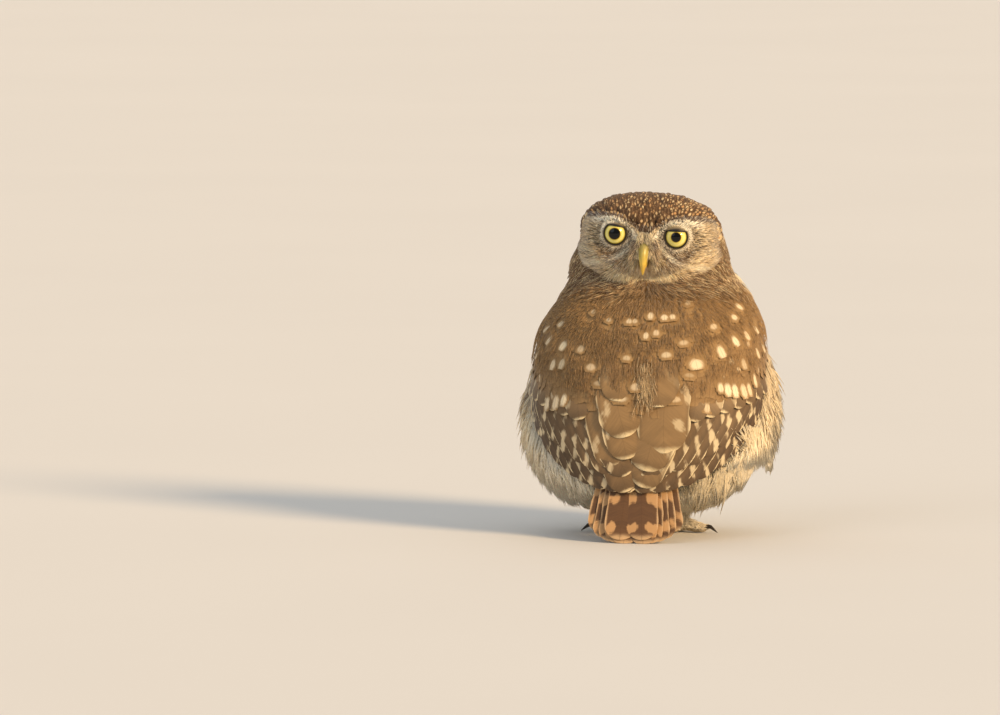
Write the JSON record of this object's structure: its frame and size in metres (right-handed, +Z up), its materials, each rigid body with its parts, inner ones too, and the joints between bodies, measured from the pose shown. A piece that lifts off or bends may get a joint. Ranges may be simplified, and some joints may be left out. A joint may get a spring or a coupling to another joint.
{
  "type": "little owl",
  "caption": "Life-size still model of a little owl standing with its back to the viewer, wings folded and its head turned right round.",
  "frame": {"origin": "on the floor under the middle of the part's bounding box", "axes": "+Z up, +Y the way the breast faces, -Y the way the back and the turned face look, +X the viewer's right from behind"},
  "size_m": [0.1498, 0.1284, 0.1938],
  "materials": {
    "head_feathers": "soft matte brown feathers with cream spots",
    "body_feathers": "soft matte buff and brown feathers",
    "flight_feathers": "close brown vanes with pale bars",
    "tail_feathers": "close warm brown vanes with buff bars",
    "bill": "satin greenish yellow horn",
    "eye": "wet yellow iris with a black pupil",
    "toe_skin": "dull greyish skin under bristly feathers",
    "claw": "satin near-black horn"
  },
  "bodies": {
    "root": {"head": "head_feathers", "bill_upper": "bill", "bill_lower": "bill", "eye_left": "eye", "eye_right": "eye", "neck": "head_feathers", "torso": "body_feathers", "wing_left": "flight_feathers", "wing_right": "flight_feathers", "tail": "tail_feathers", "leg_left": "body_feathers", "leg_right": "body_feathers", "foot_left": "toe_skin", "foot_right": "toe_skin", "claw_left_inner": "claw", "claw_left_middle": "claw", "claw_left_outer": "claw", "claw_left_hind": "claw", "claw_right_inner": "claw", "claw_right_middle": "claw", "claw_right_outer": "claw", "claw_right_hind": "claw"}
  },
  "joints": []
}
